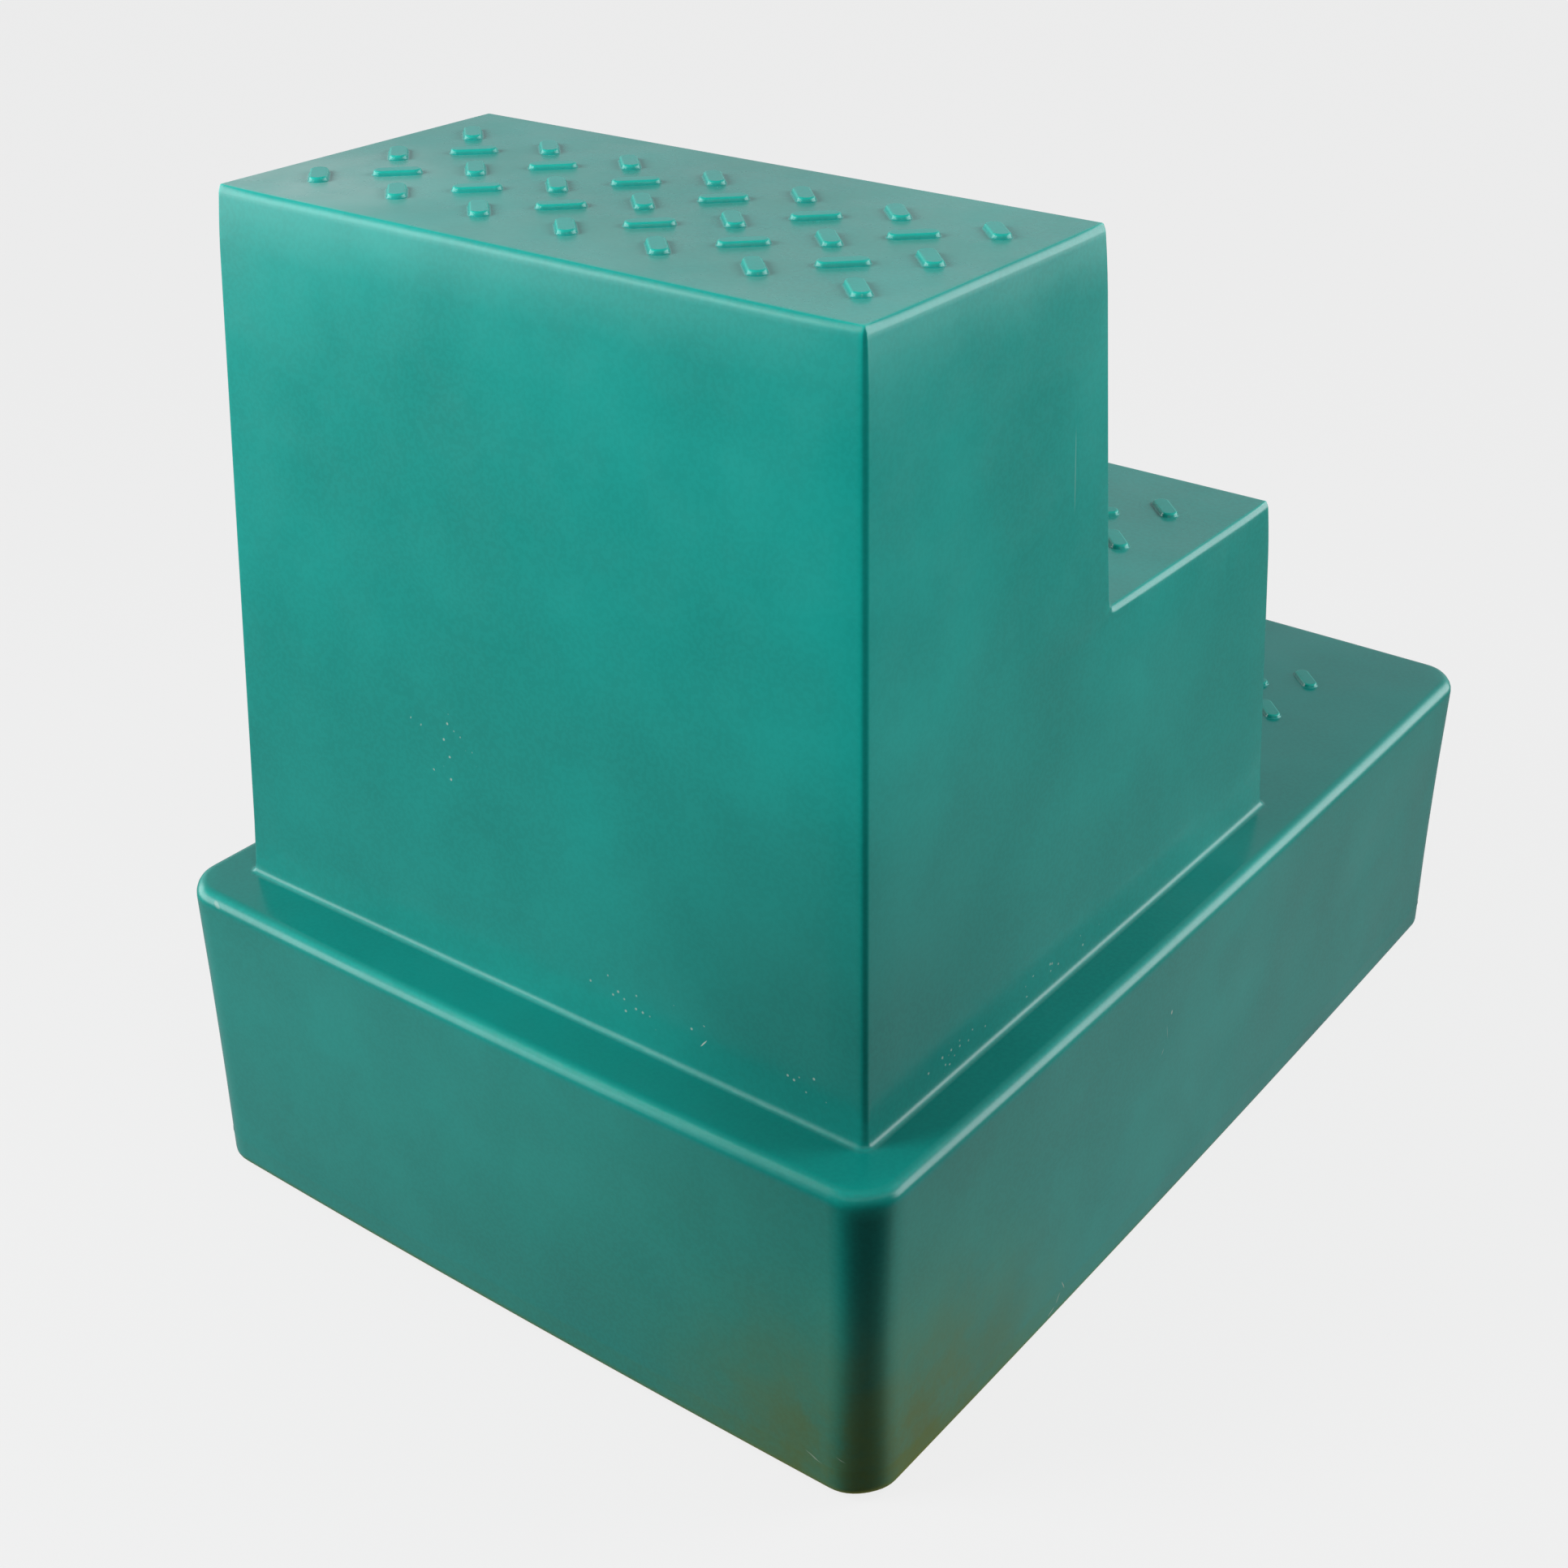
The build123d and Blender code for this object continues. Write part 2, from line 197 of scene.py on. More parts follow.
def blockSkin():
    bm = steppedForm(0, bottomZ)
    clearCorners(bm)
    bevelEdges(bm, levelEdges(bm, secondZ, False), block["riserFoot"], 4)
    above = [e for e in bm.edges if min(v.co.z for v in e.verts) > ledgeZ - tiny]
    above = [e for e in above if max(v.co.z for v in e.verts) > ledgeZ + tiny]
    bevelEdges(bm, [e for e in above if e.is_convex and e.calc_face_angle() > 0.5], block["upperEdge"], 6)
    bevelEdges(bm, uprightEdges(bm, sideX, rearY), block["baseCorner"], 12)
    bevelEdges(bm, levelEdges(bm, ledgeZ, True), block["ledgeEdge"], 6)
    bevelEdges(bm, levelEdges(bm, bottomZ, True), block["bottomEdge"], 5)
    bevelEdges(bm, levelEdges(bm, ledgeZ, False), block["junction"], 5)
    return bm


def sliceAt(bm, point, normal, low, high):
    near = [f for f in bm.faces if low < f.calc_center_median().z < high]
    parts = set(near) | {e for f in near for e in f.edges} | {v for f in near for v in f.verts}
    bmesh.ops.bisect_plane(bm, geom=list(parts), dist=tiny, plane_co=point, plane_no=normal)


def stops(low, high):
    count = round((high - low) / block["slice"])
    return [low + (high - low) * i / count for i in range(count + 1)]


# Cuts the flats into a grid that can bow, clear of the rounded edges
def gridSkin(bm):
    base, upper = (bottomZ - 1, ledgeZ + tiny), (ledgeZ + tiny, topZ + 1)
    margin = 2 * mm
    corner = block["baseCorner"] + margin
    for x in stops(corner - sideX, sideX - corner):
        sliceAt(bm, (x, 0, 0), (1, 0, 0), *base)
    for y in stops(frontY + corner, rearY - corner):
        sliceAt(bm, (0, y, 0), (0, 1, 0), *base)
    for z in stops(bottomZ + block["bottomEdge"] + margin, ledgeZ - block["ledgeEdge"] - margin):
        sliceAt(bm, (0, 0, z), (0, 0, 1), *base)
    for offset in (-parting["halfWidth"], 0, parting["halfWidth"]):
        sliceAt(bm, (0, 0, parting["height"] + offset), (0, 0, 1), *base)
    edge = block["upperEdge"] + margin
    for x in stops(edge - halfAt(topZ), halfAt(topZ) - edge):
        sliceAt(bm, (x, 0, 0), (1, 0, 0), *upper)
    cuts = stops(riser2At(secondZ) + edge, riser3Foot - edge)
    cuts += stops(riser3At(topZ) + edge, rearAt(topZ) - edge)
    for y in cuts:
        sliceAt(bm, (0, y, 0), (0, 1, 0), *upper)
    for low, high in ((ledgeZ + edge, secondZ - edge), (secondZ + edge, topZ - edge)):
        for z in stops(low, high):
            sliceAt(bm, (0, 0, z), (0, 0, 1), *upper)
    for offset in [edge] + block["edgeCuts"]:
        for side in (-1, 1):
            sliceAt(bm, (side * (halfAt(ledgeZ) - offset), 0, ledgeZ), (side, 0, slope), *upper)
        sliceAt(bm, (0, rearFoot - offset, ledgeZ), (0, 1, slope), *upper)
        sliceAt(bm, (0, riser2Foot + offset, ledgeZ), (0, 1, -slope), *upper)
        sliceAt(bm, (0, riser3Foot + offset, secondZ), (0, 1, -slope), secondZ + tiny, topZ + 1)
        for level in (secondZ, topZ):
            sliceAt(bm, (0, 0, level - offset), (0, 0, 1), *upper)


# Replaces flat faces by a sheet with the given outlines in it, and returns the face inside each outline
def openFlat(bm, flat, outlines, normal):
    members = set(flat)
    rim = {e for f in flat for e in f.edges if sum(other in members for other in e.link_faces) == 1}
    bmesh.ops.delete(bm, geom=flat, context="FACES")
    loops = []
    for place, radius, segments, halfLong, halfWide in outlines:
        made = bmesh.ops.create_circle(bm, cap_ends=False, radius=radius, segments=segments,
                                       matrix=Matrix.Rotation(math.pi / segments, 4, "Z"))
        for v in made["verts"]:
            v.co += Vector((math.copysign(halfLong, v.co.x), math.copysign(halfWide, v.co.y), 0))
        bmesh.ops.transform(bm, matrix=place, verts=made["verts"])
        loops.append(list({e for v in made["verts"] for e in v.link_edges}))
    outlineEdges = [e for loop in loops for e in loop]
    bmesh.ops.triangle_fill(bm, use_beauty=True, edges=list(rim) + outlineEdges, normal=normal)
    inside = []
    for loop in loops:
        inside += bmesh.ops.contextual_create(bm, geom=loop)["faces"]
    bmesh.ops.recalc_face_normals(bm, faces=bm.faces[:])
    return inside


def growSteps(bm, faces, steps):
    for inward, outward in steps:
        bmesh.ops.inset_individual(bm, faces=faces, thickness=inward * mm, depth=outward * mm,
                                   use_even_offset=True)


# Raised grip pads: rows of pads across the treads and a bar in each space between four of them
pads = {
    "length": 25 * mm,
    "width": 10 * mm,
    "pitch": 55.7 * mm,
    "angle": math.radians(135),
    "columns": 7,
    "rows": 3,
    "shifts": [10 * mm, 13 * mm, 3 * mm],  # each pattern's middle, behind its tread's middle
    "blend": 1.0 * mm,  # width of the soft foot round a pad
    # steps up a pad's side: millimetres inward and up
    "steps": [(0.35, 0.06), (0.35, 0.22), (0.3, 0.47), (0.35, 0.95), (0.25, 0.5), (0.35, 0.28), (0.7, 0.12)],
}


def padPlace(x, y, z, angle):
    return Matrix.Translation((x, y, z)) @ Matrix.Rotation(angle, 4, "Z")


def addPads(bm):
    treads = [(ledgeZ, frontY, riser2Foot), (secondZ, riser2At(secondZ), riser3Foot),
              (topZ, riser3At(topZ), rearAt(topZ))]
    radius = pads["width"] / 2 + pads["blend"]
    halfLong = (pads["length"] - pads["width"]) / 2
    reach = pads["pitch"] * 0.32
    for (z, front, rear), shift in zip(treads, pads["shifts"]):
        middle = (front + rear) / 2 + shift
        outlines = []
        for rows, columns, turn in ((pads["rows"], pads["columns"], 0),
                                    (pads["rows"] - 1, pads["columns"] - 1, -math.pi / 2)):
            for row in range(rows):
                for column in range(columns):
                    x = (column - (columns - 1) / 2) * pads["pitch"]
                    y = middle + (row - (rows - 1) / 2) * pads["pitch"]
                    place = padPlace(x, y, z, pads["angle"] + turn)
                    outlines.append((place, radius, 16, halfLong, 0))
        farX = (pads["columns"] - 1) / 2 * pads["pitch"] + reach
        farY = (pads["rows"] - 1) / 2 * pads["pitch"] + reach
        flat = [f for f in bm.faces if all(abs(v.co.z - z) < tiny for v in f.verts)]
        flat = [f for f in flat if any(abs(v.co.x) < farX and abs(v.co.y - middle) < farY for v in f.verts)]
        growSteps(bm, openFlat(bm, flat, outlines, (0, 0, 1)), pads["steps"])


# Parting line of the mould, a fine ridge low on the base
parting = {"height": 21.5 * mm, "halfWidth": 0.9 * mm, "proud": 0.25 * mm}

# Threaded filler in the right side of the base; its axis is along +X
filler = {
    "y": 230 * mm,
    "z": 66 * mm,
    "floorX": 234 * mm,  # floor of the pocket, where the bush's flange is flush
    "segments": 64,
    "mouth": 48,  # radii and depths below are in millimetres
    "mouthRound": 3,
    "taper": math.radians(8),
    "flange": 34,
    "flangeDepth": 4,
    "bush": 28,
    "bushLength": 24,
    "collar": 39,
    "still": 56,  # the wall keeps its place within this radius, and moves freely this much further out
    "stillFade": 60,
}


def roundSteps(radius, angle, count):
    turns = [angle * i / count for i in range(count + 1)]
    return [(radius * (math.sin(b) - math.sin(a)), radius * (math.cos(b) - math.cos(a)))
            for a, b in zip(turns, turns[1:])]


def fillerPlace(x):
    return Matrix.Translation((x, filler["y"], filler["z"])) @ Matrix.Rotation(math.pi / 2, 4, "Y")


def flatsNear(bm, x, radius):
    wall = [f for f in bm.faces if all(abs(v.co.x - x) < tiny for v in f.verts)]
    centre = Vector((x, filler["y"], filler["z"]))
    return [f for f in wall if min((v.co - centre).yz.length for v in f.verts) < radius]


def addPocket(bm):
    depth = (sideX - filler["floorX"]) / mm
    radius = filler["mouth"] + filler["mouthRound"]
    outline = (fillerPlace(sideX), radius * mm, filler["segments"], 0, 0)
    faces = openFlat(bm, flatsNear(bm, sideX, (radius + 3) * mm), [outline], (1, 0, 0))
    steps = roundSteps(filler["mouthRound"], math.pi / 2 - filler["taper"], 6)
    fall = depth + sum(step[1] for step in steps) - 0.5
    steps += [(fall * math.tan(filler["taper"]), -fall), (0.2, -0.35), (0.35, -0.15)]
    steps.append((radius - sum(step[0] for step in steps) - filler["flange"], 0))
    steps += [(0, -filler["flangeDepth"]), (filler["flange"] - filler["bush"], 0)]
    steps.append((0, filler["flangeDepth"] - filler["bushLength"]))
    growSteps(bm, faces, steps)
    bmesh.ops.delete(bm, geom=faces, context="FACES")


# Underside: a tapered recess, four pockets for the feet and the vent hole
under = {
    "recess": [40 * mm, 121 * mm, 226 * mm],  # corner radius and the half lengths between corners
    "recessDepth": 8,
    "footX": 193 * mm,
    "footY": 298 * mm,
    "footPocket": 25.5 * mm,
    "footDepth": 6,
    "insert": 6.5,
    "insertLength": 18,
    "bossWall": 5,
    "ventY": -150 * mm,
    "ventHole": 6 * mm,
}
footPoints = [(x * under["footX"], y * under["footY"]) for x in (-1, 1) for y in (-1, 1)]
recessZ = bottomZ + under["recessDepth"] * mm
floorZ = recessZ + block["wall"]


def addUnderside(bm):
    flat = [f for f in bm.faces if all(abs(v.co.z - bottomZ) < tiny for v in f.verts)]
    level = Matrix.Translation((0, 0, bottomZ))
    radius, halfLong, halfWide = under["recess"]
    outlines = [(level, radius, 32, halfLong, halfWide)]
    for x, y in footPoints:
        outlines.append((Matrix.Translation((x, y, bottomZ)), under["footPocket"], 48, 0, 0))
    faces = openFlat(bm, flat, outlines, (0, 0, -1))
    recess, pockets = faces[:1], faces[1:]
    growSteps(bm, recess, [(0.25, -0.1), (0.25, -0.4), (1.5, -7), (0.3, -0.35), (0.45, -0.15)])
    inward = under["footPocket"] / mm - under["insert"]
    growSteps(bm, pockets, [(0, -under["footDepth"]), (inward, 0), (0, -under["insertLength"])])
    outline = (Matrix.Translation((0, under["ventY"], recessZ)), under["ventHole"], 24, 0, 0)
    hole = openFlat(bm, recess, [outline], (0, 0, -1))
    growSteps(bm, hole, [(0, -block["wall"] / mm)])
    bmesh.ops.delete(bm, geom=hole, context="FACES")


# How far a point of the moulding has moved in from the mould's own shape as the plastic shrank
def settle(co):
    side = math.copysign(1, co.x)
    end = math.copysign(1, co.y)
    shift = Vector((0, 0, 0))
    awayFromFiller = math.hypot(co.y - filler["y"], co.z - filler["z"]) / mm
    onRight = co.x > block["upperWidth"] / 2
    clear = smooth((awayFromFiller - filler["still"]) / filler["stillFade"]) if onRight else 1
    pull = block["cornerPull"] * clear
    corner = block["baseCorner"]
    if co.z < ledgeZ + tiny:
        fromX, fromY = block["pullFrom"]
        overX, overY = block["pullOver"]
        shift.x -= side * pull * (co.y / rearY) ** 2 * smooth((abs(co.x) - fromX) / overX)
        shift.y -= end * pull * (co.x / sideX) ** 2 * smooth((abs(co.y) - fromY) / overY)
        out = Vector((max(0, abs(co.x) - sideX + corner) * side, max(0, abs(co.y) - rearY + corner) * end, 0))
        if out.length > corner / 2 and co.z > bottomZ + tiny:
            onWall = smooth((out.length - 0.6 * corner) / (0.4 * corner))
            ridge = abs(co.z - parting["height"]) < tiny
            dip = 0 if ridge else parting["proud"]
            middle = min(co.z - bottomZ, ledgeZ - co.z) / block["baseHollowReach"]
            dip += block["hollow"] * smooth(middle) * smooth(1 - min(abs(out.x), abs(out.y)) / corner)
            shift -= out.normalized() * dip * onWall * clear
        return shift
    behind = rearAt(co.z) - co.y
    beside = halfAt(co.z) - abs(co.x)
    before = co.y - (riser3At(co.z) if co.z > secondZ + tiny else riser2At(co.z))
    level = topZ if co.y > riser3At(co.z) - block["riserFoot"] or co.z > secondZ + tiny else secondZ
    below = level - co.z
    above = co.z - (secondZ if co.z > secondZ + tiny and before < 5 * mm else ledgeZ)
    for near, direction, across in ((behind, Vector((0, 1, 0)), beside), (before, Vector((0, -1, 0)), beside),
                                    (beside, Vector((side, 0, 0)), min(behind, before))):
        onWall = smooth(1 - near / block["upperEdge"])
        if onWall:
            roll = max(0, 1 - below / block["crownReach"]) ** 2
            roll += block["sideCrown"] * max(0, 1 - across / block["crownReach"]) ** 2
            sink = smooth(min(below, above, across) / block["hollowReach"])
            fade = smooth(above / block["footFade"])
            shift -= direction * onWall * (block["crown"] * roll + block["hollow"] * sink) * fade
    return shift


# The hollow's own wall, plain and sharp, with the same openings as the outside
def innerSkin():
    bm = steppedForm(block["wall"], floorZ)
    wallX = sideX - block["wall"]
    upright = uprightEdges(bm, wallX, rearY - block["wall"])
    bevelEdges(bm, upright, block["baseCorner"] - block["wall"] + 3 * mm, 6)
    flat = [f for f in bm.faces if all(abs(v.co.x - wallX) < tiny for v in f.verts)]
    outer = filler["mouth"] + block["wall"] / mm
    outline = (fillerPlace(wallX), outer * mm, filler["segments"], 0, 0)
    faces = openFlat(bm, flat, [outline], (1, 0, 0))
    inward = (wallX - filler["floorX"] + block["wall"]) / mm
    onward = filler["bushLength"] - block["wall"] / mm
    growSteps(bm, faces, [(0, -inward), (outer - filler["collar"], 0), (0, -onward),
                          (filler["collar"] - filler["bush"], 0)])
    bmesh.ops.delete(bm, geom=faces, context="FACES")
    flat = [f for f in bm.faces if all(abs(v.co.z - floorZ) < tiny for v in f.verts)]
    outlines = [(Matrix.Translation((0, under["ventY"], floorZ)), under["ventHole"], 24, 0, 0)]
    radius = (under["insert"] + under["bossWall"]) * mm
    for x, y in footPoints:
        outlines.append((Matrix.Translation((x, y, floorZ)), radius, 24, 0, 0))
    faces = openFlat(bm, flat, outlines, (0, 0, -1))
    rise = bottomZ / mm + under["footDepth"] + under["insertLength"] + under["bossWall"] - floorZ / mm
    growSteps(bm, faces[1:], [(0, -rise)])
    bmesh.ops.delete(bm, geom=faces[:1], context="FACES")
    bmesh.ops.reverse_faces(bm, faces=bm.faces[:])
    return bm


# Turns an outline of (height, radius) points in millimetres about the upright axis of a placed frame
def revolve(outline, place, segments, closed):
    bm = bmesh.new()
    verts = [bm.verts.new((radius * mm, 0, height * mm)) for height, radius in outline]
    pairs = list(zip(verts, verts[1:]))
    if closed:
        pairs.append((verts[-1], verts[0]))
    edges = [bm.edges.new(pair) for pair in pairs]
    bmesh.ops.spin(bm, geom=verts + edges, cent=(0, 0, 0), axis=(0, 0, 1), angle=2 * math.pi,
                   steps=segments, use_merge=True)
    bmesh.ops.remove_doubles(bm, verts=bm.verts[:], dist=tiny)
    bmesh.ops.transform(bm, matrix=place, verts=bm.verts[:])
    bmesh.ops.recalc_face_normals(bm, faces=bm.faces[:])
    return bm


# Right-hand thread of the filler; each outline is one pitch of (distance along, radius) points
thread = {
    "pitch": 5,
    "steps": 60,  # per turn
    "male": [(0, 20.7), (1.3, 20.7), (1.55, 20.85), (2.05, 22.4), (2.3, 22.6), (3.4, 22.6), (3.65, 22.4),
             (4.15, 20.85), (4.4, 20.7), (5, 20.7)],
    "female": [(0, 21.1), (1.1, 21.1), (1.35, 21.25), (1.85, 22.8), (2.1, 23), (3.6, 23), (3.85, 22.8),
               (4.35, 21.25), (4.6, 21.1), (5, 21.1)],
}


def addThread(bm, outline, low, high):
    pitch = thread["pitch"] * mm
    start = (math.floor(low / pitch) - 1) * pitch
    turns = math.ceil((high - start) / pitch) + 1
    y, z = filler["y"], filler["z"]
    verts = [bm.verts.new((start + along * mm, y, z + radius * mm)) for along, radius in outline]
    edges = [bm.edges.new(pair) for pair in zip(verts, verts[1:])]
    bmesh.ops.spin(bm, geom=verts + edges, cent=(0, y, z), axis=(1, 0, 0),
                   dvec=(pitch / thread["steps"], 0, 0), angle=2 * math.pi * turns,
                   steps=thread["steps"] * turns, use_merge=False)
    bmesh.ops.remove_doubles(bm, verts=bm.verts[:], dist=tiny)
    for x, side in ((low, -1), (high, 1)):
        everything = bm.verts[:] + bm.edges[:] + bm.faces[:]
        bmesh.ops.bisect_plane(bm, geom=everything, dist=tiny, plane_co=(x, 0, 0), plane_no=(side, 0, 0),
                               clear_outer=True)


def rimEdges(bm, x):
    return [e for e in bm.edges if e.is_boundary and all(abs(v.co.x - x) < tiny for v in e.verts)]


def riseSteps(radius, count):
    turns = [math.pi / 2 * i / count for i in range(count + 1)]
    return [(radius * (math.cos(a) - math.cos(b)), radius * (math.sin(b) - math.sin(a)))
            for a, b in zip(turns, turns[1:])]


bung = {
    "seatX": 236.5 * mm,
    "radius": 30 * mm,
    "thickness": 5,
    "notches": 12,
    "notch": 3 * mm,
    "shank": 22 * mm,
    "cup": 18.2 * mm,
    "cupDepth": 19,
    "gripWidth": 11 * mm,
    "gripLength": 46 * mm,
    "gripHeight": 8,
    "gripFoot": 0.7 * mm,  # width of the soft foot round the bar
}


# Injection-moulded bung: notched flange, grip bar, threaded shank with a cup in its end
def bungForm():
    bm = bmesh.new()
    seatX = bung["seatX"]
    endX = seatX - bung["shank"]
    addThread(bm, thread["male"], endX, seatX)
    end = bmesh.ops.contextual_create(bm, geom=rimEdges(bm, endX))["faces"]
    cup = openFlat(bm, end, [(fillerPlace(endX), bung["cup"], 48, 0, 0)], (-1, 0, 0))
    growSteps(bm, cup, [(0.3, -0.12), (0.12, -0.3), (0.1, 0.42 - bung["cupDepth"])])
    made = bmesh.ops.create_circle(bm, cap_ends=False, radius=bung["radius"], segments=bung["notches"] * 20)
    share = 2 * math.pi / bung["notches"]
    far = bung["radius"] + bung["notch"] / 2
    for v in made["verts"]:
        turn = math.atan2(v.co.y, v.co.x) % share
        across = far * math.sin(min(turn, share - turn))
        if across < bung["notch"]:
            reach = far * math.cos(min(turn, share - turn)) - math.sqrt(bung["notch"] ** 2 - across ** 2)
            v.co *= min(1, reach / bung["radius"])
    bmesh.ops.transform(bm, matrix=fillerPlace(seatX), verts=made["verts"])
    outer = list({e for v in made["verts"] for e in v.link_edges})
    inner = [e for e in rimEdges(bm, seatX) if e not in outer]
    flange = bmesh.ops.contextual_create(bm, geom=outer)["faces"]
    if flange[0].normal.x < 0:
        bmesh.ops.reverse_faces(bm, faces=flange)
    rounding = riseSteps(0.45, 3)
    growSteps(bm, flange, [(0, bung["thickness"] - 0.45)] + rounding)
    bmesh.ops.triangle_fill(bm, use_beauty=True, edges=outer + inner, normal=(-1, 0, 0))
    topX = seatX + bung["thickness"] * mm
    half = (bung["gripLength"] - bung["gripWidth"]) / 2
    outline = (fillerPlace(topX), bung["gripWidth"] / 2 + bung["gripFoot"], 32, 0, half)
    grip = openFlat(bm, flange, [outline], (1, 0, 0))
    rise = bung["gripHeight"] - 0.5 - 1.2
    growSteps(bm, grip, [(0.35, 0.12), (0.3, 0.38), (0.2, rise)] + riseSteps(1.2, 4))
    bmesh.ops.recalc_face_normals(bm, faces=bm.faces[:])
    return bm


# Outlines of the turned pieces: height and radius in millimetres
bush = {
    "outline": [(0, 23.6), (0, 33.7), (-0.3, 34), (-4, 34), (-4, 28), (-14, 28), (-14, 31), (-18, 31),
                (-18, 28), (-24, 28), (-24, 23.6)],
}
seal = {
    "outline": [(0, 23.4), (0, 27.8), (0.3, 28.1), (2.2, 28.1), (2.5, 27.8), (2.5, 23.4), (2.2, 23.1),
                (0.3, 23.1)],
}
vent = {
    "outline": [(8.6, 0), (8.5, 2), (8.1, 2.8), (8, 4), (8, 8.2), (8.15, 9), (8.6, 9.7), (9.2, 10),
                (10.3, 10), (10.5, 9.8), (10.5, 5.95), (16.7, 5.95), (16.8, 7), (17.2, 6.9), (22.4, 4.1),
                (22.7, 3.7), (22.7, 0)],
}


# Bush that the moulding grips: flange flush with the pocket's floor, a rib, and the thread inside
def bushForm():
    bm = revolve(bush["outline"], fillerPlace(filler["floorX"]), 64, False)
    threadPart = bmesh.new()
    endX = filler["floorX"] - filler["bushLength"] * mm
    addThread(threadPart, thread["female"], endX, filler["floorX"])
    joined = bpy.data.meshes.new("thread")
    threadPart.to_mesh(joined)
    threadPart.free()
    bm.from_mesh(joined)
    bpy.data.meshes.remove(joined)
    for x, side in ((endX, -1), (filler["floorX"], 1)):
        bmesh.ops.triangle_fill(bm, use_beauty=True, edges=rimEdges(bm, x), normal=(side, 0, 0))
    bmesh.ops.recalc_face_normals(bm, faces=bm.faces[:])
    return bm


# Adds a node with its settings and links, and gives back one of its outputs
def addNode(tree, kind, values, output=0, **settings):
    node = tree.nodes.new(kind)
    for key, value in settings.items():
        setattr(node, key, value)
    for key, value in values.items():
        if isinstance(value, bpy.types.NodeSocket):
            tree.links.new(value, node.inputs[key])
        else:
            node.inputs[key].default_value = value
    return node.outputs[output]


def newMaterial(name, values):
    material = bpy.data.materials.new(name)
    material.use_nodes = True
    tree = material.node_tree
    shader = tree.nodes["Principled BSDF"]
    for key, value in values.items():
        shader.inputs[key].default_value = value
    place = addNode(tree, "ShaderNodeTexCoord", {}, "Object")
    return material, tree, shader, place


# Pale marks of use: centre, turn in degrees and half sizes in millimetres, then strength
marks = [
    ((-201.5, 301, 594), (0, 0, 0), (1.6, 1.2, 1.8), 1),  # crumbs on the top corner
    ((-197.5, 302, 595), (0, 0, 0), (0.9, 0.9, 0.9), 1),
    ((-204, 298, 593), (0, 0, 0), (1, 1, 1.2), 0.9),
    ((186, 303, 592), (0, 8, 0), (5, 3, 0.6), 0.6),  # nicks under the top edge
    ((152, 303, 592.5), (0, 10, 0), (4, 3, 0.5), 0.5),
    ((-119.3, 318.5, 220.4), (0, -38, 0), (0.4, 2, 3.6), 0.95),  # straw
    ((-251, 59, 148), (0, 0, 0), (2, 1.3, 2.2), 0.8),  # nick and the scratch below it
    ((-251, 62, 136), (-14, 0, 0), (2, 0.45, 9), 0.35),
    ((-251, 65.5, 124), (30, 0, 0), (2, 0.5, 3.6), 0.7),
    ((-251, 166, 22), (-25, 0, 0), (3, 0.45, 4.5), 0.75),  # curled fibre
    ((-251, 171, 16), (35, 0, 0), (3, 0.45, 4), 0.75),
    ((-251, 178, 11), (70, 0, 0), (3, 0.45, 4.5), 0.75),
    ((-206, 130, 487), (0, 2.75, 0), (3, 0.6, 25), 0.16),  # faint scratch
    ((-232, 355, 27), (0, 60, 0), (0.7, 4, 7), 0.6),  # scar of the mould's parting line
    ((-214, 356, 22.2), (0, 70, 0), (0.6, 4, 8), 0.45),
    ((214, 355, 196), (0, 60, 0), (2.2, 4, 5), 0.3),  # scuffed corner of the ledge
]
# Fields of grit: centre and half sizes in millimetres
gritFields = [
    ((56, 313, 332), (34, 25, 34)),
    ((-85, 318, 226), (62, 25, 13)),
    ((-186, 318, 224), (24, 25, 14)),
    ((-219, 238, 216), (25, 42, 13)),
    ((-219, 150, 214), (25, 60, 8)),
]
# Soft patches of the moulding, one of them painted shade: centre and half sizes in millimetres
patches = {
    "heaped": ((185, 265, 600), (120, 110, 40)),  # where dust lies thicker on the top tread
    "nearEdgeShade": ((-192, 308, 250), (180, 190, 170)),  # painted shade: darker low on the upper block, round its near upright edge
    "muddy": ((-238, 325, -5), (165, 200, 170)),  # low corner of the base
}
# Noise of the moulding: size in millimetres, offset of the pattern, detail and roughness
mottling = {
    "clouds": (48, 3.1, 3, 0.5),
    "drift": (190, 7.7, 2, 0.5),
    "grains": (2.5, 1.3, 1, 0.5),  # powder grains, drawn coarser than the real ones to show
    "dustPatches": (60, 5.2, 4, 0.6),
    "mudPatches": (30, 3.9, 4, 0.6),
    "satin": (35, 9.4, 4, 0.6),
    "waves": (90, 2.2, 1, 0.5),
    "peel": (5, 6.1, 2, 0.5),
}


